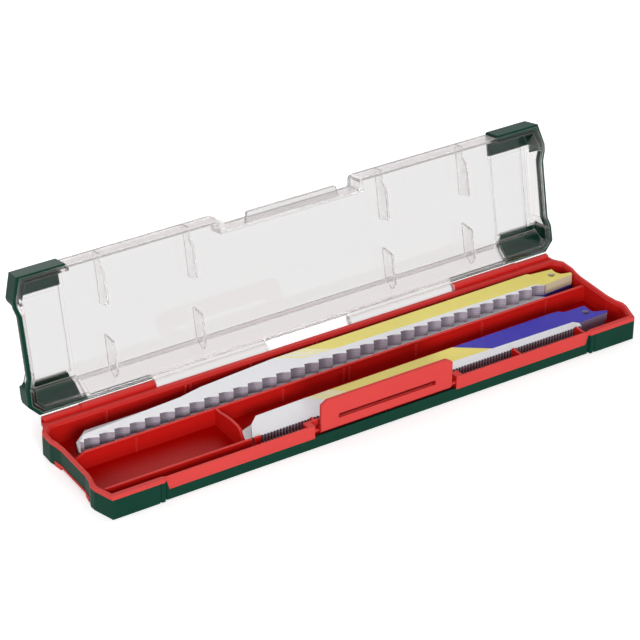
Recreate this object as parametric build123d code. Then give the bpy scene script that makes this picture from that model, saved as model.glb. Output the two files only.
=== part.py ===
from build123d import *
import math
import os

os.makedirs("parts", exist_ok=True)

# A hinged case for reciprocating saw blades. X runs along the case, Y from the
# front (latch side, negative) to the hinge side, Z up. The origin is the centre
# of the flat underside. The lid stands open, leaning back on its stop.

# ---------------------------------------------------------------- driving sizes
CASE_HALF = 160.8          # half length over the corner bumpers
END_HALF = 158.5           # half length between the bumpers
FRONT_Y = -36.4            # front face of the corner bumpers
REAR_Y = 36.0              # rear face of the tray
RIM_Z = 13.4               # height of the tray's rim
BUMPER_TOP = 11.1          # top of the soft corner bumpers
STRIP_TOP = 5.9            # top of the soft strip between the corners
STRIP_TOP_AT_LATCH = 6.7   # top of the strip under the latch
FLOOR = 1.8                # floor thickness
CORNER_X = 128.4           # inner end of a corner bumper
RISER_LOW_X, RISER_HIGH_X = 125.4, 126.9    # slanted end of the wall beside it
REAR_WALL_HALF = 155.3     # rear wall that is bare above the soft strip
FRONT_SET_BACK = 0.9       # front wall between the corners, behind the bumper face
SOFT = 1.4                 # thickness of the soft moulding
END_FOOT_TOP = 2.9         # top of the bare feet under the soft band at the ends
END_FOOT_FRONT, END_FOOT_REAR = -17.4, 18.4

HINGE_Y = 39.0             # hinge axis
HINGE_Z = 13.4
KNUCKLE_R = 2.5
HINGE_PIN_R = 1.4
HINGE_BORE_R = 1.48
HINGE_PIN_LENGTH = 5.0
LEAF_IN, LEAF_OUT = 25.4, 91.6    # the clear hinge leaves, from the middle
BARREL_IN, BARREL_OUT = 92.0, 155.0
OPEN_ANGLE = 102.4         # from closed to the open stop

LID_DEPTH = 11.9           # rim to outside of the lid's panel
LID_GAP = 0.3              # rim of the closed lid above the rim of the tray
LID_WALL = 1.5
LID_END_HALF = 157.0       # lid half length between its bumpers, at the rim
LID_CORNER_HALF = 159.0    # lid half length at its bumpers, at the rim
LID_DRAFT = 1.3            # how far the ends lean in up to the panel
LID_FRONT_Y = -35.8
LID_REAR_Y = 35.4
LID_EDGE = 0.9             # soft edge round the panel
RECESS_HALF = 40.5         # recess for the latch in the lid's front wall
RECESS_Y = -29.5
LIP_HALF = 26.4            # strike lip, which enters the latch's window
LIP_TIP_Y = -35.8
PANEL_STEP = 0.8           # end zones of the panel, set in
STEP_IN_X, STEP_OUT_X = 131.2, 151.2
POCKET_DEPTH = 1.5         # corner pockets that take the soft caps
CAP_FRONT_Y, CAP_REAR_Y = -23.3, 22.9       # ends of the caps along the lid's ends
RIM_FLANGE = 0.9           # clear rim below the soft moulding
HOLD_DOWN_X = (-110.0, -59.0, 57.5, 109.0)

LATCH_HALF = 39.3
LATCH_FRONT_Y = -36.0
LATCH_Y, LATCH_Z = -33.6, 9.3     # latch pivot
LATCH_R = 1.9
LATCH_TOP = 26.2
LATCH_THICK = 2.0
LATCH_PIN_R = 0.9
LATCH_BORE_R = 0.98
LATCH_PIN_REACH = 5.2      # pin length beyond the end of the latch
WINDOW_HALF = 29.2
WINDOW_LOW, WINDOW_HIGH = 13.7, 16.4
POCKET_HALF = 42.7
POCKET_BACK_Y = -31.3

DIVIDER_Y = 6.0            # front face of the long divider
DIVIDER_THICK = 1.5
DIVIDER_TOP = 11.4
CROSS_X = -74.2            # right face of the cross divider
CROSS_TOP = 13.1
INNER_WALL_Y = -26.4       # rear face of the low wall behind the front channel
INNER_WALL_TOP = 12.2


def prism(points, low, high):
    """Closed outline in plan, extruded from one height to another."""
    outline = make_face(Polyline(*points, close=True))
    return Pos(0, 0, low) * extrude(outline, amount=high - low)


def block(x0, x1, y0, y1, z0, z1):
    return Pos((x0 + x1) / 2, (y0 + y1) / 2, (z0 + z1) / 2) * Box(
        abs(x1 - x0), abs(y1 - y0), abs(z1 - z0))


def profile_x(points, x0, x1):
    """Outline in the Y-Z plane, extruded along X."""
    outline = make_face(Plane.YZ * Polyline(*points, close=True))
    return Pos(x0, 0, 0) * extrude(outline, amount=x1 - x0, dir=(1, 0, 0))


def both_ends(right_half):
    """Right half of a plan outline, front to rear, and its mirror image."""
    return right_half + [(-x, y) for x, y in reversed(right_half)]


def rod_x(x0, x1, y, z, radius):
    return Pos((x0 + x1) / 2, y, z) * Rot(0, 90, 0) * Cylinder(radius, abs(x1 - x0))


# Plan outlines, right half, from the front to the rear.
MIDDLE_FRONT = FRONT_Y + FRONT_SET_BACK


def case_outline(inset, middle_y):
    """Outside of the case in plan, moved inwards by inset."""
    return both_ends([
        (CORNER_X - 1.2 + inset, middle_y),
        (CORNER_X + inset, FRONT_Y + inset),
        (156.9 - inset * 0.8, FRONT_Y + inset),
        (CASE_HALF - 0.2 - inset, -24.8 + inset * 0.3),
        (CASE_HALF - inset, -21.2),
        (END_HALF + 0.9 - inset, -17.4),
        (END_HALF - inset, -11.6),
        (END_HALF - inset, 13.2),
        (END_HALF + 0.8 - inset, 18.4),
        (CASE_HALF - 0.7 - inset, 22.0),
        (CASE_HALF - 0.8 - inset, 30.2 - inset * 0.3),
        (156.0 - inset * 0.7, REAR_Y - inset * 0.8),
    ])


def cavity_outline(inset):
    """Inside of the tray in plan; inset 0 is its mouth at the rim."""
    return both_ends([
        (127.0, -34.6 + inset * 0.8),
        (129.0, -33.8 + inset * 0.8),
        (155.8 - inset * 0.8, -33.8 + inset * 0.8),
        (159.0 - inset, -25.0),
        (159.0 - inset, -21.4),
        (157.9 - inset, -17.4),
        (157.3 - inset, -12.0),
        (157.3 - inset, 13.6),
        (157.8 - inset, 18.4),
        (158.7 - inset, 22.2),
        (158.5 - inset, 28.9 - inset * 0.4),
        (154.9 - inset * 0.8, 33.8 - inset),
    ])


# ---------------------------------------------------------------- tray
def wall_rib(x, y, low, high):
    """Upright rib on the front face of a wall, narrow at its tip."""
    root, tip, reach = 0.8, 0.4, 0.8
    return prism([(x - root, y + 0.1), (x - tip, y - reach), (x + tip, y - reach), (x + root, y + 0.1)],
                 low, high)


def hinge_barrel(side):
    """Red barrel at one rear corner, on a web from the rear wall, with the
    blind bore that takes the lid's pin."""
    step_x = 134.0
    x0, x1, x2 = side * BARREL_IN, side * step_x, side * BARREL_OUT
    barrel = rod_x(x0, x1, HINGE_Y, HINGE_Z, KNUCKLE_R)
    barrel += rod_x(x1, x2, HINGE_Y, HINGE_Z, KNUCKLE_R - 0.35)
    web = profile_x(
        [(REAR_Y - 1.5, HINGE_Z - 5.6), (HINGE_Y - 0.4, HINGE_Z - 2.4),
         (HINGE_Y - 0.4, HINGE_Z), (REAR_Y - 1.5, HINGE_Z)],
        min(x0, x2), max(x0, x2))
    # The rim runs on round the corner to the end of the barrel.
    corner = [(side * 152, REAR_Y - 1.5), (side * 156.7, REAR_Y - 1.0), (side * 156.0, HINGE_Y),
              (side * BARREL_OUT, HINGE_Y + 1.0), (side * 152, HINGE_Y + 1.0)]
    web += prism(corner, BUMPER_TOP, HINGE_Z)
    bore = rod_x(x0 - side, x0 + side * (HINGE_PIN_LENGTH + 1.0),
                 HINGE_Y, HINGE_Z, HINGE_BORE_R)
    return barrel + web, bore


def base_tray():
    skirt_front = MIDDLE_FRONT + 1.1
    tray = prism(case_outline(SOFT, skirt_front), 0, BUMPER_TOP)
    tray += prism(case_outline(0, MIDDLE_FRONT), BUMPER_TOP, RIM_Z)
    # The front wall is bare above the soft strip, and ends on a slant at the corners.
    bare = [(-RISER_LOW_X, STRIP_TOP), (RISER_LOW_X, STRIP_TOP), (RISER_HIGH_X, BUMPER_TOP),
            (RISER_HIGH_X, RIM_Z), (-RISER_HIGH_X, RIM_Z), (-RISER_HIGH_X, BUMPER_TOP)]
    sheet = make_face(Plane.XZ * Polyline(*bare, close=True))
    tray += Pos(0, MIDDLE_FRONT, 0) * extrude(sheet, amount=SOFT + 1.2, dir=(0, 1, 0))
    tray += block(-REAR_WALL_HALF, REAR_WALL_HALF, REAR_Y - SOFT - 0.2, REAR_Y, STRIP_TOP, RIM_Z)

    # The inside: straight walls, then an inner chamfer up to the rim.
    ledge = 1.1
    tray -= prism(cavity_outline(ledge), FLOOR, RIM_Z + 1)
    low = make_face(Polyline(*cavity_outline(ledge), close=True))
    high = make_face(Polyline(*cavity_outline(0), close=True))
    tray -= loft([Pos(0, 0, RIM_Z - 1.5) * low, Pos(0, 0, RIM_Z) * high], ruled=True)

    # Long divider, dipping at its left end, and its ribs.
    end_x = 156.6
    top = [(-end_x, FLOOR - 0.4), (-end_x, DIVIDER_TOP - 3.8), (-end_x + 3.4, DIVIDER_TOP - 1.8),
           (-end_x + 7.4, DIVIDER_TOP), (end_x, DIVIDER_TOP), (end_x, FLOOR - 0.4)]
    sheet = make_face(Plane.XZ * Polyline(*top, close=True))
    tray += Pos(0, DIVIDER_Y, 0) * extrude(sheet, amount=DIVIDER_THICK, dir=(0, 1, 0))
    for x in (-121.0, -36.0, 0.9, 4.0, 45.7, 88.0, 130.0):
        tray += wall_rib(x, DIVIDER_Y, FLOOR - 0.4, DIVIDER_TOP - 0.8)
    for x in (-122.9, -77.5, -74.6, -39.0, -1.3, 1.2, 41.9, 84.4, 126.8):
        tray += wall_rib(x, 32.7, FLOOR - 0.4, RIM_Z - 1.7)

    # Cross divider: arched, then falling steeply to the low front wall.
    tray += profile_x(
        [(DIVIDER_Y + 0.2, FLOOR - 0.4), (DIVIDER_Y + 0.2, DIVIDER_TOP), (2.0, DIVIDER_TOP),
         (-3.5, CROSS_TOP - 0.6), (-9.0, CROSS_TOP), (-14.5, CROSS_TOP), (-17.3, CROSS_TOP - 0.9),
         (-19.6, 8.8), (-20.4, 8.0), (INNER_WALL_Y - 0.4, 8.0), (INNER_WALL_Y - 0.4, FLOOR - 0.4)],
        CROSS_X - 1.4, CROSS_X)

    # Low wall behind the front channel, left of the cross divider.
    tray += block(-155.8, CROSS_X + 5.2, INNER_WALL_Y - 1.1, INNER_WALL_Y, FLOOR - 0.4, INNER_WALL_TOP)
    tray -= block(CROSS_X, CROSS_X + 1.5, INNER_WALL_Y - 1.2, INNER_WALL_Y + 0.1,
                  8.2, INNER_WALL_TOP + 1)

    # Fins on the inside of the front wall, which keep the teeth off it.
    for x in (-39.6, 2.0, 44.0, 84.4, 125.3):
        tray += profile_x(
            [(-34.0, FLOOR - 0.4), (-34.0, RIM_Z - 0.7), (-26.7, RIM_Z - 0.8), (-26.2, RIM_Z - 1.6),
             (-26.2, FLOOR - 0.4)],
            x - 0.6, x + 0.6)

    # Pocket for the latch: the wall is cut down and closed again behind it.
    tray += block(-POCKET_HALF - 1.2, POCKET_HALF + 1.2, POCKET_BACK_Y - 0.2, POCKET_BACK_Y + 1.2,
                  FLOOR - 0.4, RIM_Z)
    tray -= block(-POCKET_HALF, POCKET_HALF, FRONT_Y - 1, POCKET_BACK_Y, STRIP_TOP, RIM_Z + 1)
    # Each end of the pocket is a solid block with a blind bore for the latch's pin.
    for side in (-1, 1):
        tray += block(side * POCKET_HALF, side * (POCKET_HALF + 4.0), MIDDLE_FRONT, POCKET_BACK_Y + 1.2,
                      STRIP_TOP, RIM_Z)
        tray -= rod_x(side * (POCKET_HALF - 1.0), side * (LATCH_HALF + LATCH_PIN_REACH + 0.5),
                      LATCH_Y, LATCH_Z, LATCH_BORE_R)

    for side in (-1, 1):
        barrel, bore = hinge_barrel(side)
        tray += barrel
        tray -= bore

    # Bare feet at the ends, a little proud of the soft band, and a relief
    # between them.
    proud = prism(case_outline(-0.3, MIDDLE_FRONT), 0, END_FOOT_TOP)
    for side in (-1, 1):
        tray += proud & block(side * 157, side * 165, END_FOOT_FRONT, END_FOOT_REAR, 0, END_FOOT_TOP)
        tray -= block(side * 156.0, side * 162.0, -12.7, 13.4, -1, 1.6)
    return tray


# ---------------------------------------------------------------- soft bumper of the base
def base_bumper():
    """One soft ring round the tray: full height at the four corners, a low
    strip between them."""
    ring = prism(case_outline(0, MIDDLE_FRONT), 0, BUMPER_TOP)
    ring -= prism(case_outline(SOFT, MIDDLE_FRONT + 1.1), -1, BUMPER_TOP + 1)
    # Between the corners the strip is low, and a little higher under the latch.
    high = BUMPER_TOP + 0.01
    low = [(-RISER_LOW_X, STRIP_TOP), (-POCKET_HALF, STRIP_TOP), (-POCKET_HALF, STRIP_TOP_AT_LATCH),
           (POCKET_HALF, STRIP_TOP_AT_LATCH), (POCKET_HALF, STRIP_TOP), (RISER_LOW_X, STRIP_TOP),
           (RISER_HIGH_X, high), (-RISER_HIGH_X, high)]
    sheet = make_face(Plane.XZ * Polyline(*low, close=True))
    ring -= Pos(0, FRONT_Y - 2, 0) * extrude(sheet, amount=6, dir=(0, 1, 0))
    for side in (-1, 1):
        # Upright grooves at the inner end of each corner.
        for x, y in ((127.5, MIDDLE_FRONT), (130.6, FRONT_Y)):
            ring -= Pos(side * x, y - 0.1, BUMPER_TOP / 2) * Cylinder(0.7, BUMPER_TOP + 2)
        ring -= block(side * 150, side * 165, END_FOOT_FRONT, END_FOOT_REAR, -1, END_FOOT_TOP)
    ring -= block(-REAR_WALL_HALF, REAR_WALL_HALF, 30, 40, STRIP_TOP, BUMPER_TOP + 1)
    return ring


# ---------------------------------------------------------------- lid
def lid_outline(inset, lean=0.0):
    """Outside of the clear lid in plan when closed, moved inwards by inset;
    lean is how far the ends lean in at this height."""
    end = inset + lean
    return both_ends([
        (155.4 - inset * 0.8 - lean, LID_FRONT_Y + inset),
        (LID_CORNER_HALF - end, -25.2 + inset * 0.3),
        (LID_CORNER_HALF - 0.2 - end, -21.4),
        (LID_END_HALF - end, -16.2),
        (LID_END_HALF - end, 16.6),
        (LID_CORNER_HALF - 0.2 - end, 21.6),
        (LID_CORNER_HALF - end, 30.2 - inset * 0.3),
        (154.0 - inset * 0.7 - lean, LID_REAR_Y - inset),
    ])


def cap_outline(lean=0.0):
    """Outside of the lid's soft moulding in plan when closed."""
    return both_ends([
        (156.9 - lean, -36.7),
        (160.5 - lean, -24.6),
        (160.3 - lean, -20.8),
        (LID_END_HALF + 1.7 - lean, -15.4),
        (LID_END_HALF + 1.7 - lean, 17.0),
        (160.6 - lean, 22.4),
        (160.8 - lean, 31.0),
        (155.6 - lean, 36.4),
    ])


LID_LOW = RIM_Z + LID_GAP
LID_HIGH = LID_LOW + LID_DEPTH
REAR_CHAMFER = 7.4         # slope between the lid's panel and its hinge side


def rear_slope(extra):
    """Wedge outside the sloped hinge side of the lid, for a cut; extra moves
    the slope outwards."""
    y = LID_REAR_Y + extra
    z = LID_HIGH + extra
    return profile_x([(y - REAR_CHAMFER, z + 0.01), (y + 20, z + 0.01), (y + 20, z - REAR_CHAMFER),
                      (y, z - REAR_CHAMFER)], -180, 180)


def leaning(low_outline, high_outline, low, high):
    """Solid between two plan outlines with the same number of corners."""
    faces = [Pos(0, 0, z) * make_face(Polyline(*outline, close=True))
             for outline, z in ((low_outline, low), (high_outline, high))]
    return loft(faces, ruled=True)


def lid_body(inset, drop):
    """The lid as a solid block: its walls moved in by inset, its panel
    lowered by drop."""
    body = leaning(lid_outline(inset), lid_outline(inset, LID_DRAFT), LID_LOW, LID_HIGH)
    body -= block(-180, 180, -60, 60, LID_HIGH - drop, LID_HIGH + 1)
    return body - rear_slope(-max(inset, drop) * 1.1)


def corner_zones(side, grow, low, bare=0.0):
    """The two corners of one end of the lid where the soft caps lie. On the
    hinge side the pocket is wider than the cap, by up to bare."""
    front_in = 130.4 - grow
    front = [(front_in, -45), (front_in, CAP_FRONT_Y + grow), (175, CAP_FRONT_Y + grow), (175, -45)]
    rear = [(133.4 - grow, CAP_REAR_Y - grow), (129.2 + bare * 0.7 - grow, 28.6), (128.0 + bare - grow, 45),
            (175, 45), (175, CAP_REAR_Y - grow)]
    zones = prism(front, low, 60) + prism(rear, low, 60)
    return zones if side > 0 else mirror(zones, about=Plane.YZ)


def lid_with_pockets():
    """The lid as a solid block with its edges rounded and the corners set in."""
    body = lid_body(0, 0)
    panel = body.faces().sort_by(Axis.Z)[-1]
    body = chamfer(panel.edges(), LID_EDGE)
    set_in = lid_body(POCKET_DEPTH, PANEL_STEP + 0.3)
    for side in (-1, 1):
        body -= corner_zones(side, 0, LID_LOW + RIM_FLANGE) - set_in
        body -= block(side * STEP_IN_X, side * STEP_OUT_X, CAP_FRONT_Y, CAP_REAR_Y,
                      LID_HIGH - PANEL_STEP, LID_HIGH + 1)
    return body


def latch_recess():
    """Cutter for the recess in the front wall: its mouth flares on a round."""
    side_wall = [(43.4, LID_FRONT_Y - 1.0), (43.0, LID_FRONT_Y), (41.9, -35.3), (40.9, -34.0),
                 (RECESS_HALF, -32.4), (RECESS_HALF, RECESS_Y - 0.9), (RECESS_HALF - 0.9, RECESS_Y)]
    return prism(both_ends(side_wall), LID_LOW - 1, LID_HIGH + 1)


def closed_lid():
    lid = lid_with_pockets()
    recess_in = RECESS_HALF + LID_WALL
    hollow = lid_body(LID_WALL, LID_WALL)
    hollow -= block(-recess_in - 1.2, recess_in + 1.2, -60, RECESS_Y + LID_WALL, 0, 60)
    in_pockets = lid_body(POCKET_DEPTH + LID_WALL, PANEL_STEP + 0.3 + LID_WALL)
    for side in (-1, 1):
        hollow -= corner_zones(side, LID_WALL, LID_LOW - 2) - in_pockets
        hollow -= block(side * (STEP_IN_X - LID_WALL), side * (STEP_OUT_X + LID_WALL), -60, 60,
                        LID_HIGH - LID_WALL - PANEL_STEP, 60)
    lid -= hollow
    lid -= latch_recess()

    # Strike lip in the recess, which the latch's window snaps over.
    lip_low, lip_high = LID_LOW + 0.45, LID_LOW + 2.3
    lip = [(LIP_HALF, LIP_TIP_Y), (LIP_HALF + 0.5, LIP_TIP_Y + 0.6), (LIP_HALF + 1.8, RECESS_Y + 0.2)]
    lid += prism(both_ends(lip), lip_low, lip_high)

    # Hold-down ribs over the two compartments.
    free_z = LID_LOW + 1.3
    root_z = LID_HIGH - LID_WALL + 0.3
    for rib_x in HOLD_DOWN_X:
        front = profile_x(
            [(LID_FRONT_Y + 0.6, root_z), (LID_FRONT_Y + 0.6, free_z + 3.2), (-28.8, free_z + 3.2),
             (-25.6, free_z), (-8.2, free_z), (-7.4, root_z)], rib_x - 0.6, rib_x + 0.6)
        rear = profile_x(
            [(9.0, root_z), (11.2, free_z), (28.0, free_z), (31.0, free_z + 3.0), (31.0, root_z - 3.2),
             (27.8, root_z)], rib_x - 0.6, rib_x + 0.6)
        lid += front + rear

    # Hinge leaves: a web behind the rear rim, and a knuckle with a moulded pin.
    for side in (-1, 1):
        x0, x1 = sorted((side * LEAF_IN, side * LEAF_OUT))
        lid += block(x0, x1, LID_REAR_Y - 1.0, HINGE_Y - 1.0, LID_LOW, LID_LOW + 1.8)
        lid += rod_x(x0, x1, HINGE_Y, HINGE_Z, KNUCKLE_R)
        pin_end = side * (LEAF_OUT + 0.4 + HINGE_PIN_LENGTH)
        lid += rod_x(side * (LEAF_OUT - 1), pin_end, HINGE_Y, HINGE_Z, HINGE_PIN_R)
    return lid


def closed_lid_bumper(side):
    """Soft moulding on one end of the lid: a cap in each corner pocket, a
    strip along the end rim and one along the rear rim as far as the leaf."""
    low = LID_LOW + RIM_FLANGE
    skin = leaning(cap_outline(), cap_outline(LID_DRAFT * 0.8), low, LID_HIGH + 0.35)
    skin -= rear_slope(0.5)
    skin = chamfer(skin.faces().sort_by(Axis.Z)[-1].edges(), 0.8)
    zones = corner_zones(side, 0.15, low - 1, bare=3.4)
    strip_high = LID_LOW + 4.0
    zones += block(side * 150, side * 175, CAP_FRONT_Y - 1, CAP_REAR_Y + 1, low - 1, strip_high)
    zones += block(side * (LEAF_OUT + 0.4), side * 131, 33, 45, LID_LOW + 1.2, LID_LOW + 2.9)
    wedge = [(150, CAP_FRONT_Y - 1), (160.4, CAP_FRONT_Y - 0.8), (155.6, -17.0), (150, -17.0)]
    rear_wedge = [(150, CAP_REAR_Y + 1), (160.4, CAP_REAR_Y + 1), (155.6, 18.4), (150, 18.4)]
    for outline in (wedge, rear_wedge):
        zones += prism([(side * x, y) for x, y in outline], low, LID_HIGH - PANEL_STEP - 0.6)
    return (skin & zones) - lid_with_pockets()


def opened(piece):
    """Turn a piece of the closed lid about the hinge to the open stop."""
    return Pos(0, HINGE_Y, HINGE_Z) * Rot(-OPEN_ANGLE, 0, 0) * Pos(0, -HINGE_Y, -HINGE_Z) * piece


# ---------------------------------------------------------------- latch
def latch():
    y_out = LATCH_FRONT_Y
    y_in = LATCH_FRONT_Y + LATCH_THICK
    plate_corner = 2.2
    outline = [(-LATCH_HALF, LATCH_Z), (-LATCH_HALF, LATCH_TOP - plate_corner),
               (-LATCH_HALF + plate_corner * 1.6, LATCH_TOP), (LATCH_HALF - plate_corner * 1.6, LATCH_TOP),
               (LATCH_HALF, LATCH_TOP - plate_corner), (LATCH_HALF, LATCH_Z)]
    sheet = make_face(Plane.XZ * Polyline(*outline, close=True))
    flap = Pos(0, y_out, 0) * extrude(sheet, amount=LATCH_THICK, dir=(0, 1, 0))
    flap -= block(-WINDOW_HALF, WINDOW_HALF, y_out - 1, y_in + 1, WINDOW_LOW, WINDOW_HIGH)
    knuckle = rod_x(-LATCH_HALF, LATCH_HALF, LATCH_Y, LATCH_Z, LATCH_R)
    flap += knuckle
    flap += block(-LATCH_HALF, LATCH_HALF, y_out, LATCH_Y, LATCH_Z, LATCH_Z + 1.2)
    pin_reach = LATCH_HALF + LATCH_PIN_REACH
    flap += rod_x(-pin_reach, pin_reach, LATCH_Y, LATCH_Z, LATCH_PIN_R)
    return flap


# ---------------------------------------------------------------- saw blades
def coarse_teeth(start, end, pitch, depth, rise):
    """Tooth line of a wood blade: each tooth has a steep leading face, then a
    round gullet that climbs to the next tip. Points run from tip to heel, and
    the line rises towards the heel."""
    count = round((end - start) / pitch)
    step = (end - start) / count
    line = []
    for i in range(count):
        for along, deep in ((0, 0), (0.14, 0.95), (0.48, 0.8)):
            line.append((start + (i + along) * step, deep * depth + rise * (i + along) / count))
    line.append((end, rise))
    return line


def fine_teeth(start, end, pitch, depth):
    """Plain saw-tooth line of a fine blade."""
    count = round((end - start) / pitch)
    step = (end - start) / count
    line = []
    for i in range(count):
        x = start + i * step
        line += [(x, 0), (x + step * 0.2, depth)]
    line.append((end, 0))
    return line


# Blades are drawn from the tip, with y = 0 on the line of the tooth tips.
LONG_HEEL = 284.4          # where the teeth of a long blade end
WOOD_RISE = 3.7            # how far the wood blade's tooth line rises to the heel
SHORT_HEEL = 203.0
LONG_TANG = [(286.2, 4.4), (304.5, 5.6), (305.0, 7.4), (299.2, 9.0), (297.9, 11.8), (297.9, 15.6),
             (284.8, 17.0), (283.0, 18.4)]
LONG_HOLE = (294.2, 10.9)
SHORT_TANG = [(204.0, 3.2), (223.2, 4.0), (224.6, 5.8), (218.1, 8.4), (216.9, 9.0), (217.0, 16.0),
              (203.6, 16.2), (201.8, 18.4), (197.0, 18.9)]
SHORT_HOLE = (213.6, 10.3)
HOLE_R = 2.0

WOOD_BACK = [(119.8, 17.2), (75.2, 13.4), (61.8, 10.6), (5.0, 6.5), (0.8, 1.6)]
METAL_BACK = [(12.0, 18.4), (3.4, 11.0), (0.6, 3.0)]
COMBI_BACK = [(40.0, 17.6), (11.8, 16.7), (5.9, 11.2), (0.4, 1.2)]
SPARE_BACK = [(14.0, 18.4), (3.6, 14.6), (0.2, 8.6)]

STACK = 5
LONG_X, LONG_Y = -148.8, 11.0
SHORT_X, SHORT_Y = -72.2, -24.7
METAL_THICK, WOOD_THICK = 1.1, 1.26
SPARE_THICK, COMBI_THICK = 0.74, 0.9


def blade(tooth_line, tang, back, hole, x, y, z, thick):
    points = [(px + x, py + y) for px, py in tooth_line + tang + back]
    pin_hole = Pos(x + hole[0], y + hole[1], z) * Cylinder(HOLE_R, thick * 3)
    return prism(points, z, z + thick) - pin_hole


def blade_stacks():
    """Four stacks of five blades: wood blades on metal blades in the rear
    compartment, combination blades on spare ones in the front compartment.
    The metal and the spare blades have teeth too fine to cut one by one."""
    wood = coarse_teeth(2.0, LONG_HEEL, 8.65, 2.7, WOOD_RISE)
    metal = [(2.0, 0), (LONG_HEEL, 0)]
    combi = fine_teeth(1.2, SHORT_HEEL, 3.3, 0.9)
    spare = [(1.0, 0), (SHORT_HEEL, 0)]
    stacks = {}
    for i in range(STACK):
        n = STACK - i
        z = FLOOR + i * METAL_THICK
        stacks[f"metal_blade_long_{n}"] = blade(
            metal, LONG_TANG, METAL_BACK, LONG_HOLE, LONG_X - 0.6, LONG_Y - 0.8, z, METAL_THICK)
        z = FLOOR + STACK * METAL_THICK + i * WOOD_THICK
        stacks[f"wood_blade_long_{n}"] = blade(
            wood, LONG_TANG, WOOD_BACK, LONG_HOLE, LONG_X, LONG_Y, z, WOOD_THICK)
        z = FLOOR + i * SPARE_THICK
        stacks[f"spare_blade_short_{n}"] = blade(
            spare, SHORT_TANG, SPARE_BACK, SHORT_HOLE, SHORT_X - 0.8, SHORT_Y, z, SPARE_THICK)
        z = FLOOR + STACK * SPARE_THICK + i * COMBI_THICK
        stacks[f"combi_blade_short_{n}"] = blade(
            combi, SHORT_TANG, COMBI_BACK, SHORT_HOLE, SHORT_X, SHORT_Y, z, COMBI_THICK)
    return stacks


# ---------------------------------------------------------------- assembly
NODES = {
    "base_tray": base_tray(),
    "base_bumper": base_bumper(),
    "lid_shell": opened(closed_lid()),
    "lid_bumper_left": opened(closed_lid_bumper(-1)),
    "lid_bumper_right": opened(closed_lid_bumper(1)),
    "latch": latch(),
}
NODES.update(blade_stacks())

for name, solid in NODES.items():
    export_step(solid, f"parts/{name}.step")
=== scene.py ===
import math

import bmesh
import bpy
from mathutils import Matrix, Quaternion, Vector


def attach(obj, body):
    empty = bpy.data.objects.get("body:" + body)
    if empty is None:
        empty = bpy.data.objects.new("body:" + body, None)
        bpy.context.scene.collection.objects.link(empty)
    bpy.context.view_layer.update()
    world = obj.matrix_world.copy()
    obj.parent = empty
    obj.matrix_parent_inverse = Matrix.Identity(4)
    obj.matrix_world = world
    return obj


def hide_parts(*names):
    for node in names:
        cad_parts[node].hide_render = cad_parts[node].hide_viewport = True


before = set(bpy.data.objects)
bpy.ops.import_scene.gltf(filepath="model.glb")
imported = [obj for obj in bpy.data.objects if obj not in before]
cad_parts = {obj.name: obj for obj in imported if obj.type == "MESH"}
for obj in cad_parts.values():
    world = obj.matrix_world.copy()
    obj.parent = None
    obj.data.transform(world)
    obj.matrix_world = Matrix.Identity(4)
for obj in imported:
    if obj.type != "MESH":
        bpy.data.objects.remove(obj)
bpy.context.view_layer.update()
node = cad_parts

# ---------------------------------------------------------------- camera
# A long lens looking down on the open case from the front left, as for a
# catalogue shot.
CAMERA_PLACE = Vector((-0.617371, -0.927822, 0.724014))
CAMERA_AIM = Vector((-0.017830, 0.0, 0.048279))
CAMERA_ROLL = math.radians(0.774)
CAMERA_LENS = 145.39       # mm, on a sensor 36 mm wide
SENSOR_WIDTH = 36.0
NEAREST_SEEN = 0.05

camera = bpy.data.objects.new("camera", bpy.data.cameras.new("camera"))
camera.data.lens = CAMERA_LENS
camera.data.sensor_width = SENSOR_WIDTH
camera.data.clip_start = NEAREST_SEEN
camera.location = CAMERA_PLACE
camera.rotation_mode = "QUATERNION"
towards = (CAMERA_AIM - CAMERA_PLACE).to_track_quat("-Z", "Y")
camera.rotation_quaternion = towards @ Quaternion((0, 0, 1), CAMERA_ROLL)
bpy.context.scene.collection.objects.link(camera)
bpy.context.scene.camera = camera
bpy.context.scene.view_settings.view_transform = "Standard"


# ---------------------------------------------------------------- studio
# A pale floor in a white room, with soft boxes in front, behind and at both
# ends, level enough that each colour shows about as it is written.
WHITE = (1, 1, 1, 1)
ROOM_LIGHT = 0.4           # what the room's walls throw on the object
BACKDROP = 1.0             # what the eye sees of them


def linear(hex_colour):
    """An sRGB hex colour as linear RGBA."""
    values = [int(hex_colour[i:i + 2], 16) / 255 for i in (1, 3, 5)]
    return (*[v / 12.92 if v <= 0.04045 else ((v + 0.055) / 1.055) ** 2.4 for v in values], 1.0)


def add_node(tree, kind, inputs=None, **settings):
    """Adds a node, sets its properties, and fills or links its inputs."""
    made = tree.nodes.new(kind)
    for key, value in settings.items():
        setattr(made, key, value)
    for socket, value in (inputs or {}).items():
        if isinstance(value, bpy.types.NodeSocket):
            tree.links.new(value, made.inputs[socket])
        else:
            made.inputs[socket].default_value = value
    return made


def seen_directly(tree):
    """Two masks: 1 for what the camera sees itself, and 1 for what it sees
    mirrored or through clear plastic. Light that falls on the object is in
    neither."""
    path = add_node(tree, "ShaderNodeLightPath").outputs
    bent = add_node(tree, "ShaderNodeMath", {
        0: path["Is Glossy Ray"], 1: path["Is Transmission Ray"]}, operation="MAXIMUM")
    direct = add_node(tree, "ShaderNodeMath", {0: path["Diffuse Depth"], 1: 0.5},
                      operation="LESS_THAN")
    bent = add_node(tree, "ShaderNodeMath", {0: bent.outputs[0], 1: direct.outputs[0]},
                    operation="MULTIPLY")
    return path["Is Camera Ray"], bent.outputs[0]


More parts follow.
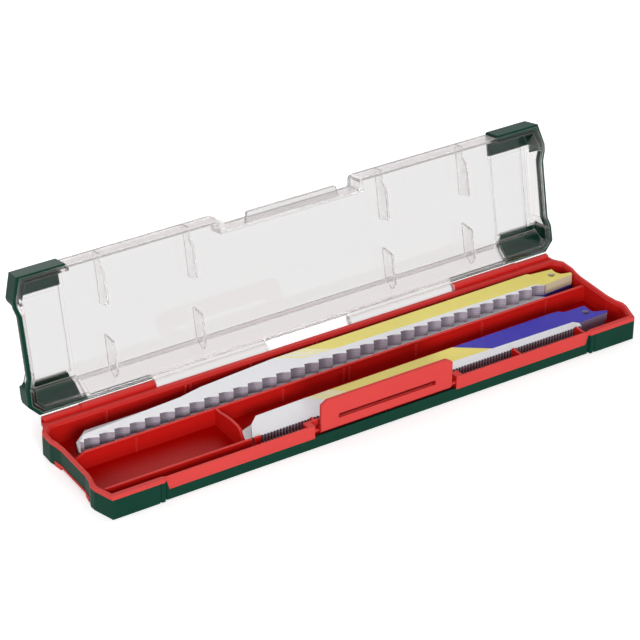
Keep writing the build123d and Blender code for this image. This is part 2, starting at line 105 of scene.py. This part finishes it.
world = bpy.data.worlds.new("studio_room")
world.use_nodes = True
room_tree = world.node_tree
room_tree.nodes.clear()
by_eye, bent = seen_directly(room_tree)
seen = add_node(room_tree, "ShaderNodeMath", {0: by_eye, 1: bent}, operation="MAXIMUM")
light = add_node(room_tree, "ShaderNodeBackground", {"Color": WHITE, "Strength": ROOM_LIGHT})
backdrop = add_node(room_tree, "ShaderNodeBackground", {"Color": WHITE, "Strength": BACKDROP})
walls = add_node(room_tree, "ShaderNodeMixShader", {
    0: seen.outputs[0], 1: light.outputs[0], 2: backdrop.outputs[0]})
add_node(room_tree, "ShaderNodeOutputWorld", {"Surface": walls.outputs[0]})
bpy.context.scene.world = world


def new_material(name):
    """An empty node material and its tree."""
    material = bpy.data.materials.new(name)
    material.use_nodes = True
    material.node_tree.nodes.clear()
    return material, material.node_tree


FLOOR_HALF = 1.6
FLOOR_DROP = 0.0002        # keeps it just clear of the case's underside
FLOOR_GLOW = 0.42          # lifts it to white where no shadow falls


# Matt painted board: it takes the case's shadow, and shows plain white in
# gloss and through clear plastic.
def painted_floor():
    material, tree = new_material("pale_floor")
    by_eye, bent = seen_directly(tree)
    board = add_node(tree, "ShaderNodeBsdfDiffuse", {"Color": linear("#F4F4F4")})
    lift = add_node(tree, "ShaderNodeMath", {0: by_eye, 1: FLOOR_GLOW}, operation="MULTIPLY")
    glow = add_node(tree, "ShaderNodeEmission", {"Color": WHITE, "Strength": lift.outputs[0]})
    lit = add_node(tree, "ShaderNodeAddShader", {0: board.outputs[0], 1: glow.outputs[0]})
    plain = add_node(tree, "ShaderNodeEmission", {"Color": WHITE, "Strength": BACKDROP})
    both = add_node(tree, "ShaderNodeMixShader", {
        0: bent, 1: lit.outputs[0], 2: plain.outputs[0]})
    add_node(tree, "ShaderNodeOutputMaterial", {"Surface": both.outputs[0]})
    return material


bm = bmesh.new()
bmesh.ops.create_grid(bm, x_segments=1, y_segments=1, size=FLOOR_HALF)
floor_mesh = bpy.data.meshes.new("floor")
bm.to_mesh(floor_mesh)
bm.free()
floor_mesh.materials.append(painted_floor())
floor = bpy.data.objects.new("floor", floor_mesh)
floor.location.z = -FLOOR_DROP
bpy.context.scene.collection.objects.link(floor)

LAMP_AIM = Vector((0, 0, 0.02))


def lamp(name, place, size, watts):
    """A square soft box turned to the case."""
    data = bpy.data.lights.new(name, "AREA")
    data.size = size
    data.energy = watts
    box = bpy.data.objects.new(name, data)
    box.location = place
    box.rotation_mode = "QUATERNION"
    box.rotation_quaternion = (LAMP_AIM - Vector(place)).to_track_quat("-Z", "Y")
    bpy.context.scene.collection.objects.link(box)


lamp("front_lamp", (-0.4, -1.4, 0.5), size=0.6, watts=15.5)
lamp("rear_lamp", (0.3, 1.3, 0.75), size=0.8, watts=8)
lamp("left_lamp", (-1.4, -0.1, 0.5), size=0.7, watts=4)
lamp("right_lamp", (1.4, -0.2, 0.5), size=0.7, watts=4)


# ---------------------------------------------------------------- tray and latch
# The tray with its dividers, and the latch: polypropylene, injection moulded
# in red in a satin finished mould. The latch snaps into the tray on its pins.
RED_OPEN = ("#D34845", "#CC413F")   # outside, with faint flow marks between the two
RED_SHADED_WALL = "#BE1A16"           # painted shade on the walls inside the compartments
# painted shade on the floors of the compartments, the darkest
RED_SHADED_FLOOR = "#AC0603"
# painted highlight along the rounded outer edges
RED_EDGE_HIGHLIGHT = "#EE5A55"
RED_FLOW = 1 / 30                   # 33 mm from one flow mark to the next
RED_GRAIN = 0.0005                  # 0.5 mm
WALL_REACH = 0.05                   # painted shade darkens what is nearer than this to a wall
DEEP_INSIDE, OUTSIDE = 0.72, 0.99   # share of open sky where the painted shade is deepest, and over the plain red
NOOK_REACH = 0.0015                 # an inner corner is nearer than this to its walls
IN_NOOK, FREE = 0.75, 0.97          # share of open sky in one, and over an outer edge
# how strong the painted edge highlight is
EDGE_CATCH = 0.6


def edge_light(tree, radius, low, high):
    """0 on flat surfaces, rising to 1 along the edges, by how far a rounded
    edge's normal would lean away from the surface: low is where it starts and
    high where it is full. The rounded normal comes with it."""
    rounded = add_node(tree, "ShaderNodeBevel", {"Radius": radius}, samples=6)
    flat = add_node(tree, "ShaderNodeNewGeometry").outputs["Normal"]
    alike = add_node(tree, "ShaderNodeVectorMath", {0: rounded.outputs[0], 1: flat},
                     operation="DOT_PRODUCT")
    mask = add_node(tree, "ShaderNodeMapRange", {
        0: alike.outputs["Value"], 1: 1.0 - low, 2: 1.0 - high, 3: 0.0, 4: 1.0})
    return mask.outputs[0], rounded.outputs[0]


# Satin red polypropylene: a warm red, with painted shade that darkens it inside the compartments
# and most on their floors, standing in for the shade there and the red light the tray throws back
# on itself. The fine mould texture (drawn at 0.5 mm, as the real grain is too fine to show) gives
# it a soft sheen, and a paler red along its rounded outer edges is a painted highlight.
def red_polypropylene():
    material, tree = new_material("moulded_red_polypropylene")
    coordinates = add_node(tree, "ShaderNodeTexCoord").outputs
    where = coordinates["Object"]
    flow = add_node(tree, "ShaderNodeTexNoise", {
        "Vector": where, "Scale": 1 / RED_FLOW, "Detail": 3.0})
    outside = add_node(tree, "ShaderNodeMix", {
        0: flow.outputs["Fac"], 6: linear(RED_OPEN[0]), 7: linear(RED_OPEN[1])},
        data_type="RGBA")

    # painted shade: floors darker than walls, mixed in where the tray's own walls close round
    upward = add_node(tree, "ShaderNodeSeparateXYZ", {0: coordinates["Normal"]}).outputs["Z"]
    bottom = add_node(tree, "ShaderNodeMapRange", {0: upward, 1: 0.5, 2: 0.95, 3: 0.0, 4: 1.0})
    inside = add_node(tree, "ShaderNodeMix", {
        0: bottom.outputs[0], 6: linear(RED_SHADED_WALL), 7: linear(RED_SHADED_FLOOR)},
        data_type="RGBA")
    sky = add_node(tree, "ShaderNodeAmbientOcclusion", {"Distance": WALL_REACH},
                   samples=8, only_local=True)
    open_to_sky = add_node(tree, "ShaderNodeMapRange", {
        0: sky.outputs["AO"], 1: DEEP_INSIDE, 2: OUTSIDE, 3: 0.0, 4: 1.0})
    tint = add_node(tree, "ShaderNodeMix", {
        0: open_to_sky.outputs[0], 6: inside.outputs[2], 7: outside.outputs[2]},
        data_type="RGBA")

    # painted highlight: a paler red along the rounded edges, kept out of inner corners
    edge, rounded = edge_light(tree, radius=0.0009, low=0.02, high=0.16)
    nook = add_node(tree, "ShaderNodeAmbientOcclusion", {"Distance": NOOK_REACH},
                    samples=8, only_local=True)
    catch = add_node(tree, "ShaderNodeMapRange", {
        0: nook.outputs["AO"], 1: IN_NOOK, 2: FREE, 3: 0.0, 4: EDGE_CATCH})
    edge = add_node(tree, "ShaderNodeMath", {0: edge, 1: catch.outputs[0]}, operation="MULTIPLY")
    tint = add_node(tree, "ShaderNodeMix", {
        0: edge.outputs[0], 6: tint.outputs[2], 7: linear(RED_EDGE_HIGHLIGHT)}, data_type="RGBA")

    grain = add_node(tree, "ShaderNodeTexNoise", {
        "Vector": where, "Scale": 1 / RED_GRAIN, "Detail": 2.0})
    bump = add_node(tree, "ShaderNodeBump", {
        "Height": grain.outputs["Fac"], "Strength": 0.3, "Distance": 0.00003, "Normal": rounded})
    plastic = add_node(tree, "ShaderNodeBsdfPrincipled", {
        "Base Color": tint.outputs[2], "Roughness": 0.42, "IOR": 1.49,
        "Specular IOR Level": 0.04, "Normal": bump.outputs[0]})
    add_node(tree, "ShaderNodeOutputMaterial", {"Surface": plastic.outputs[0]})
    return material


def dress(name, material):
    """Gives a carried-over piece its finish."""
    node[name].data.materials.clear()
    node[name].data.materials.append(material)


red = red_polypropylene()
dress("base_tray", red)
dress("latch", red)


# ---------------------------------------------------------------- soft bumpers
# Bumpers of thermoplastic elastomer, moulded onto the tray and the lid, so
# they follow the corners without a gap.
GREEN = ("#093226", "#0D3D2F")      # between the clouds of bloom, and in them
# painted highlight along the edges
GREEN_EDGE_HIGHLIGHT = "#245543"
GREEN_EDGE_HIGHLIGHT_SHARE = 0.35
GREEN_BLOOM = 1 / 60                # 17 mm from one cloud to the next
GREEN_SPARK = 0.000625              # 0.6 mm


# Dark green elastomer: a soft sheen, slightly bloomed, with a fine spark texture (drawn at 0.6
# mm, coarser than the real one), and a paler green along its edges that is a painted highlight.
def green_elastomer():
    material, tree = new_material("moulded_green_elastomer")
    where = add_node(tree, "ShaderNodeTexCoord").outputs["Object"]
    bloom = add_node(tree, "ShaderNodeTexNoise", {
        "Vector": where, "Scale": 1 / GREEN_BLOOM, "Detail": 4.0})
    tint = add_node(tree, "ShaderNodeMix", {
        0: bloom.outputs["Fac"], 6: linear(GREEN[0]), 7: linear(GREEN[1])}, data_type="RGBA")
    # painted highlight: paler green along the edges
    edge, rounded = edge_light(tree, radius=0.0008, low=0.02, high=0.2)
    edge = add_node(tree, "ShaderNodeMath", {0: edge, 1: GREEN_EDGE_HIGHLIGHT_SHARE}, operation="MULTIPLY")
    tint = add_node(tree, "ShaderNodeMix", {
        0: edge.outputs[0], 6: tint.outputs[2], 7: linear(GREEN_EDGE_HIGHLIGHT)}, data_type="RGBA")
    grain = add_node(tree, "ShaderNodeTexNoise", {
        "Vector": where, "Scale": 1 / GREEN_SPARK, "Detail": 2.0})
    bump = add_node(tree, "ShaderNodeBump", {
        "Height": grain.outputs["Fac"], "Strength": 0.2, "Distance": 0.00004, "Normal": rounded})
    rubber = add_node(tree, "ShaderNodeBsdfPrincipled", {
        "Base Color": tint.outputs[2], "Roughness": 0.4, "IOR": 1.5,
        "Specular IOR Level": 0.06, "Normal": bump.outputs[0]})
    add_node(tree, "ShaderNodeOutputMaterial", {"Surface": rubber.outputs[0]})
    return material


green = green_elastomer()
for name in ("base_bumper", "lid_bumper_left", "lid_bumper_right"):
    dress(name, green)


# ---------------------------------------------------------------- lid
# The see-through lid, one injection moulding with its ribs, strike lip and
# hinge leaves. Its pins run in the tray's hinge barrels.
OPEN_ANGLE = 1.78721715    # how far the lid stands open, in radians
PANEL_NORMAL = (0.0, math.sin(OPEN_ANGLE), math.cos(OPEN_ANGLE))
ALONG_CASE = (1.0, 0.0, 0.0)
CLEAR_PANEL = "#ECEBEB"
# painted shade: the greyer tint of the walls
CLEAR_WALL_SHADED = "#E6E2E2"
CLEAR_RIB = "#F9F7F7"
# painted highlight: a pale diffuse coat along the rounded edges
EDGE_HIGHLIGHT = "#DBD5D6"
EDGE_HIGHLIGHT_SHARE = 0.45
SINK_MARK = 0.04           # 40 mm from one sink mark to the next
STRAIGHT_THROUGH = 0.15    # share of light that a wall this thin doesn't bend


def facing(tree, normal, way):
    """1 where the surface faces one way or its opposite, to within about 26
    degrees, else 0."""
    turned = add_node(tree, "ShaderNodeVectorMath", {0: normal, 1: way}, operation="DOT_PRODUCT")
    either = add_node(tree, "ShaderNodeMath", {0: turned.outputs["Value"]}, operation="ABSOLUTE")
    return add_node(tree, "ShaderNodeMath", {0: either.outputs[0], 1: 0.9},
                    operation="GREATER_THAN").outputs[0]


# Clear plastic, polished, with faint sink marks. Painted shade gives the drafted walls a little
# greyer tint than the broad panel, and the thin ribs are clearest. A pale diffuse coat along its
# rounded edges is a painted highlight for the light they gather. The lamps shine through it.
def clear_plastic():
    material, tree = new_material("moulded_clear_plastic")
    coordinates = add_node(tree, "ShaderNodeTexCoord").outputs
    panel = facing(tree, coordinates["Normal"], PANEL_NORMAL)
    rib = facing(tree, coordinates["Normal"], ALONG_CASE)
    # painted shade: the walls take a greyer tint than the panel, by which way each face turns
    tint = add_node(tree, "ShaderNodeMix", {
        0: panel, 6: linear(CLEAR_WALL_SHADED), 7: linear(CLEAR_PANEL)}, data_type="RGBA")
    tint = add_node(tree, "ShaderNodeMix", {
        0: rib, 6: tint.outputs[2], 7: linear(CLEAR_RIB)}, data_type="RGBA").outputs[2]

    edge, rounded = edge_light(tree, radius=0.0006, low=0.01, high=0.3)
    sink = add_node(tree, "ShaderNodeTexNoise", {
        "Vector": coordinates["Object"], "Scale": 1 / SINK_MARK, "Detail": 2.0})
    bump = add_node(tree, "ShaderNodeBump", {
        "Height": sink.outputs["Fac"], "Strength": 0.25, "Distance": 0.0004, "Normal": rounded})
    clear = add_node(tree, "ShaderNodeBsdfPrincipled", {
        "Base Color": tint, "Roughness": 0.03, "IOR": 1.45, "Transmission Weight": 1.0,
        "Specular IOR Level": 0.4, "Normal": bump.outputs[0]})
    # painted highlight along the rounded edges
    edge_highlight = add_node(tree, "ShaderNodeBsdfDiffuse", {"Color": linear(EDGE_HIGHLIGHT)})
    amount = add_node(tree, "ShaderNodeMath", {0: edge, 1: EDGE_HIGHLIGHT_SHARE}, operation="MULTIPLY")
    plastic = add_node(tree, "ShaderNodeMixShader", {
        0: amount.outputs[0], 1: clear.outputs[0], 2: edge_highlight.outputs[0]})

    shadow = add_node(tree, "ShaderNodeLightPath").outputs["Is Shadow Ray"]
    straight = add_node(tree, "ShaderNodeMapRange", {
        0: shadow, 1: 0.0, 2: 1.0, 3: STRAIGHT_THROUGH, 4: 1.0})
    through = add_node(tree, "ShaderNodeBsdfTransparent", {"Color": tint})
    lit = add_node(tree, "ShaderNodeMixShader", {
        0: straight.outputs[0], 1: plastic.outputs[0], 2: through.outputs[0]})
    add_node(tree, "ShaderNodeOutputMaterial", {"Surface": lit.outputs[0]})
    return material


dress("lid_shell", clear_plastic())


# ---------------------------------------------------------------- blades
# Four stacks of saw blades, punched from strip steel, painted pale grey and
# printed on top with a band of colour that ends in slanting stripes. The
# sides are bare cut steel. Lengths here are in mm, up to the fine teeth.
MM = 1000                  # mm in a metre
PAINT = "#E4E4E8"
YELLOW = "#E6D76F"
BLUE = "#2F24A8"
PALE_STRIPE = "#ECE3A4"
CUT_STEEL = ("#BAB4C0", "#9A93A2")  # the shear marks lie between the two
TOOTH_BACK_SHADE = "#6F6878"              # painted shade on the sides that face the tang, away from the light
# painted shade in the gullets between the teeth
GULLET_SHADE = "#33242C"
# painted shade along the line where each blade lies on the next
SEAM_SHADE = "#58525F"
SHEAR_MARK = 1 / 700                # 1.4 mm, coarser than the real ones


def beyond(tree, where, line):
    """1 on the right of a line in plan, going from its start to its end."""
    start, end = line
    along = (Vector(end) - Vector(start)).normalized()
    across = (along.y * MM, -along.x * MM, 0.0)
    reach = add_node(tree, "ShaderNodeVectorMath", {0: where, 1: across}, operation="DOT_PRODUCT")
    edge = across[0] * start[0] / MM + across[1] * start[1] / MM
    return add_node(tree, "ShaderNodeMath", {0: reach.outputs["Value"], 1: edge},
                    operation="GREATER_THAN").outputs[0]


def combine(tree, how, masks):
    """MAXIMUM joins masks, and MULTIPLY keeps what they share."""
    made = masks[0]
    for mask in masks[1:]:
        made = add_node(tree, "ShaderNodeMath", {0: made, 1: mask}, operation=how).outputs[0]
    return made


def stripes(tree, where, slope, front, spans):
    """Slanting stripes, each between the places where its two edges cross
    the line y = front."""
    run = Vector((1.0, slope))
    made = []
    for left, right in spans:
        low, high = Vector((left, front)), Vector((right, front))
        made.append(combine(tree, "MULTIPLY", (beyond(tree, where, (low + run, low)),
                                               beyond(tree, where, (high, high + run)))))
    return combine(tree, "MAXIMUM", made)


def coated(tree, under, coats):
    """Lays coats of colour over a surface, each where its mask is 1."""
    for mask, colour in coats:
        under = add_node(tree, "ShaderNodeMix", {0: mask, 6: under, 7: colour},
                         data_type="RGBA").outputs[2]
    return under


# Painted steel: the print lies on the flat faces. The cut sides are bare, with shear marks, and
# painted shade darkens the sides of the teeth that face the tang, a line where each blade lies on
# the next and the gullets between the teeth. Only the sides of the tang are painted.
def blade_finish(name, print_colours, stack_foot, thickness, tips, rise, gullet,
                 tang_x, tang_side):
    """stack_foot is the height of the lowest seam, tips the y of the line of tooth tips at x = 0
    and rise how far it climbs over 100 mm, gullet how far behind that line the painted shade of
    the gullets begins and ends, and tang_x where the tang begins."""
    material, tree = new_material(name)
    where = add_node(tree, "ShaderNodeTexCoord").outputs["Object"]
    place = add_node(tree, "ShaderNodeSeparateXYZ", {0: where}).outputs
    normal = add_node(tree, "ShaderNodeNewGeometry").outputs["Normal"]
    slope = add_node(tree, "ShaderNodeSeparateXYZ", {0: normal}).outputs

    marks = add_node(tree, "ShaderNodeTexNoise", {
        "Vector": where, "Scale": 1 / SHEAR_MARK, "Detail": 3.0})
    steel = add_node(tree, "ShaderNodeMix", {
        0: marks.outputs["Fac"], 6: linear(CUT_STEEL[0]), 7: linear(CUT_STEEL[1])},
        data_type="RGBA")
    # painted shade on the sides of the teeth that face the tang
    lee_shade = add_node(tree, "ShaderNodeMapRange", {0: slope["X"], 1: 0.0, 2: 0.6, 3: 0.0, 4: 0.85})
    # painted shade in the gullets, deepening behind the line of tips
    tip_line = add_node(tree, "ShaderNodeMath", {0: place["X"], 1: rise / 100, 2: tips / MM},
                        operation="MULTIPLY_ADD")
    behind = add_node(tree, "ShaderNodeMath", {0: place["Y"], 1: tip_line.outputs[0]},
                      operation="SUBTRACT")
    gullet_shade_mask = add_node(tree, "ShaderNodeMapRange", {
        0: behind.outputs[0], 1: gullet[0] / MM, 2: gullet[1] / MM, 3: 0.0, 4: 0.85})
    tang = add_node(tree, "ShaderNodeMath", {0: place["X"], 1: tang_x / MM},
                    operation="GREATER_THAN")
    # painted shade along the seams where the blades lie on each other
    height = add_node(tree, "ShaderNodeMath", {0: place["Z"], 1: stack_foot / MM},
                      operation="SUBTRACT")
    turns = add_node(tree, "ShaderNodeMath", {
        0: height.outputs[0], 1: 2 * MM * math.pi / thickness}, operation="MULTIPLY")
    wave = add_node(tree, "ShaderNodeMath", {0: turns.outputs[0]}, operation="COSINE")
    seam = add_node(tree, "ShaderNodeMapRange", {
        0: wave.outputs[0], 1: 0.55, 2: 1.0, 3: 0.0, 4: 0.45})
    side = coated(tree, steel.outputs[2], (
        (lee_shade.outputs[0], linear(TOOTH_BACK_SHADE)),
        (gullet_shade_mask.outputs[0], linear(GULLET_SHADE)),
        (tang.outputs[0], linear(tang_side)),
        (seam.outputs[0], linear(SEAM_SHADE))))

    level = add_node(tree, "ShaderNodeMath", {0: slope["Z"]}, operation="ABSOLUTE")
    flat = add_node(tree, "ShaderNodeMath", {0: level.outputs[0], 1: 0.7},
                    operation="GREATER_THAN")
    tint = coated(tree, side, ((flat.outputs[0], print_colours(tree, where)),))
    steel_paint = add_node(tree, "ShaderNodeBsdfPrincipled", {
        "Base Color": tint, "Roughness": 0.38, "Specular IOR Level": 0.25})
    add_node(tree, "ShaderNodeOutputMaterial", {"Surface": steel_paint.outputs[0]})
    return material


# Long wood blades: a yellow band behind the teeth, which covers the tang and
# ends in three paler stripes.
WOOD_BAND_FRONT = ((112.0, 18.3), (16.0, 19.6))
WOOD_BAND_HEEL = ((135.1, 15.6), (127.6, 21.0))
WOOD_BAND_END = ((5.8, 18.2), (-9.1, 27.4))
WOOD_STRIPES = ((-10.9, -7.3), (-4.6, -1.3), (-0.3, 4.8))


def wood_print(tree, where):
    behind = beyond(tree, where, WOOD_BAND_FRONT)
    heel = beyond(tree, where, WOOD_BAND_HEEL)
    band = combine(tree, "MAXIMUM", (behind, heel))
    yellow = combine(tree, "MULTIPLY", (band, beyond(tree, where, WOOD_BAND_END)))
    ends = stripes(tree, where, slope=-0.6, front=18.4, spans=WOOD_STRIPES)
    pale = combine(tree, "MULTIPLY", (ends, behind))
    return coated(tree, linear(PAINT), ((yellow, linear(YELLOW)), (pale, linear(PALE_STRIPE))))


# Short combination blades: yellow from the stripes to the middle, then blue
# as far as the tang's end.
SHORT_HEEL = ((131.5, -21.2), (126.4, -15.5))
COMBI_BAND_FRONT = ((114.0, -18.7), (30.0, -17.4))
COMBI_BAND_END = ((-10.2, -13.2), (-15.0, -8.6))
COMBI_BLUE_END = ((75.6, -16.8), (61.8, -7.4))
COMBI_STRIPES = ((-24.3, -22.8), (-21.9, -15.0), (-14.0, -11.0))


def combi_print(tree, where):
    behind = beyond(tree, where, COMBI_BAND_FRONT)
    band = combine(tree, "MAXIMUM", (behind, beyond(tree, where, SHORT_HEEL)))
    yellow = combine(tree, "MULTIPLY", (band, beyond(tree, where, COMBI_BAND_END)))
    blue = combine(tree, "MULTIPLY", (band, beyond(tree, where, COMBI_BLUE_END)))
    ends = stripes(tree, where, slope=-0.9, front=-13.0, spans=COMBI_STRIPES)
    pale = combine(tree, "MULTIPLY", (ends, behind))
    return coated(tree, linear(PAINT), (
        (yellow, linear(YELLOW)), (blue, linear(BLUE)), (pale, linear(PALE_STRIPE))))


# Long metal blades and short spare blades: bare paint, with a blue tang.
LONG_HEEL = ((133.9, 14.2), (127.0, 20.2))


def metal_print(tree, where):
    return coated(tree, linear(PAINT), ((beyond(tree, where, LONG_HEEL), linear(BLUE)),))


def spare_print(tree, where):
    return coated(tree, linear(PAINT), ((beyond(tree, where, SHORT_HEEL), linear(BLUE)),))


finishes = {
    "wood_blade_long": blade_finish(
        "printed_wood_blade_steel", wood_print, stack_foot=7.3, thickness=1.26,
        tips=12.92, rise=1.31, gullet=(1.2, 3.2), tang_x=137.0, tang_side="#D6CAA9"),
    "metal_blade_long": blade_finish(
        "printed_metal_blade_steel", metal_print, stack_foot=1.8, thickness=1.1,
        tips=10.2, rise=0.0, gullet=(0.1, 0.5), tang_x=136.5, tang_side="#3A3180"),
    "combi_blade_short": blade_finish(
        "printed_combi_blade_steel", combi_print, stack_foot=5.5, thickness=0.9,
        tips=-24.7, rise=0.0, gullet=(0.1, 0.5), tang_x=132.0, tang_side="#8A7F98"),
    "spare_blade_short": blade_finish(
        "printed_spare_blade_steel", spare_print, stack_foot=1.8, thickness=0.74,
        tips=-24.7, rise=0.0, gullet=(0.1, 0.5), tang_x=131.0, tang_side="#8A7F98"),
}
STACK = range(1, 6)        # the blades of a stack, from the top
for i in STACK:
    dress(f"wood_blade_long_{i}", finishes["wood_blade_long"])


# Fine teeth on the metal, combination and spare blades, milled at 1.8 mm and
# raked towards the tang, as they cut when pulled. The front of the blade is
# made straight and opened, its two edges are divided and joined again, and
# every second pair of points goes back as a gullet. Lengths are in metres.
TOOTH_PITCH = 0.0018
TOOTH_DEPTH = 0.0009
TOOTH_RAKE = 0.3 * TOOTH_PITCH
OLD_TEETH = 0.00095        # as deep as any teeth the blade already has
SAME_POINT = 1e-6
ON_LINE = 1e-5
FLAT_ENOUGH = 0.01         # radians between faces that are merged
LONG_EDGE = 0.1            # tells the blade's two long front edges from its ends
FINE_TOOTHED = {           # y of the tooth tips, and x where they start and end
    "metal_blade_long": (0.0102, -0.1480, 0.1355),
    "combi_blade_short": (-0.0247, -0.0715, 0.1315),
    "spare_blade_short": (-0.0247, -0.0725, 0.1305),
}


def on_tip_line(verts, tip_y):
    return all(abs(vert.co.y - tip_y) < ON_LINE for vert in verts)


def fine_toothed(kind, i, tip_y, start_x, end_x):
    bm = bmesh.new()
    bm.from_mesh(node[f"{kind}_{i}"].data)
    bmesh.ops.remove_doubles(bm, verts=bm.verts, dist=SAME_POINT)
    for vert in bm.verts:
        if vert.co.y < tip_y + OLD_TEETH and start_x < vert.co.x < end_x:
            vert.co.y = tip_y
    bmesh.ops.remove_doubles(bm, verts=bm.verts, dist=SAME_POINT)
    bmesh.ops.dissolve_limit(bm, angle_limit=FLAT_ENOUGH, verts=bm.verts, edges=bm.edges)

    front = [face for face in bm.faces if on_tip_line(face.verts, tip_y)]
    edges = [edge for face in front for edge in face.edges if edge.calc_length() > LONG_EDGE]
    bmesh.ops.delete(bm, geom=front, context="FACES_ONLY")
    cuts = 2 * round(edges[0].calc_length() / TOOTH_PITCH) - 1
    bmesh.ops.bisect_edges(bm, edges=edges, cuts=cuts)
    rim = [edge for edge in bm.edges if on_tip_line(edge.verts, tip_y)
           and edge.calc_length() > 0.1 * TOOTH_PITCH
           and abs(edge.verts[0].co.z - edge.verts[1].co.z) < SAME_POINT]
    bmesh.ops.bridge_loops(bm, edges=rim)
    points = sorted((vert for vert in bm.verts if on_tip_line([vert], tip_y)),
                    key=lambda vert: vert.co.x)
    for k, vert in enumerate(points):
        if k // 2 % 2:
            vert.co.y += TOOTH_DEPTH
            vert.co.x -= TOOTH_RAKE
    bmesh.ops.triangulate(bm, faces=bm.faces, ngon_method="EAR_CLIP")

    mesh = bpy.data.meshes.new(f"{kind}_toothed_{i}")
    bm.to_mesh(mesh)
    bm.free()
    mesh.materials.append(finishes[kind])
    piece = bpy.data.objects.new(f"{kind}_toothed_{i}", mesh)
    bpy.context.scene.collection.objects.link(piece)
    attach(piece, "case")
    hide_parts(f"{kind}_{i}")


for i in STACK:
    for kind, (tip_y, start_x, end_x) in FINE_TOOTHED.items():
        fine_toothed(kind, i, tip_y, start_x, end_x)
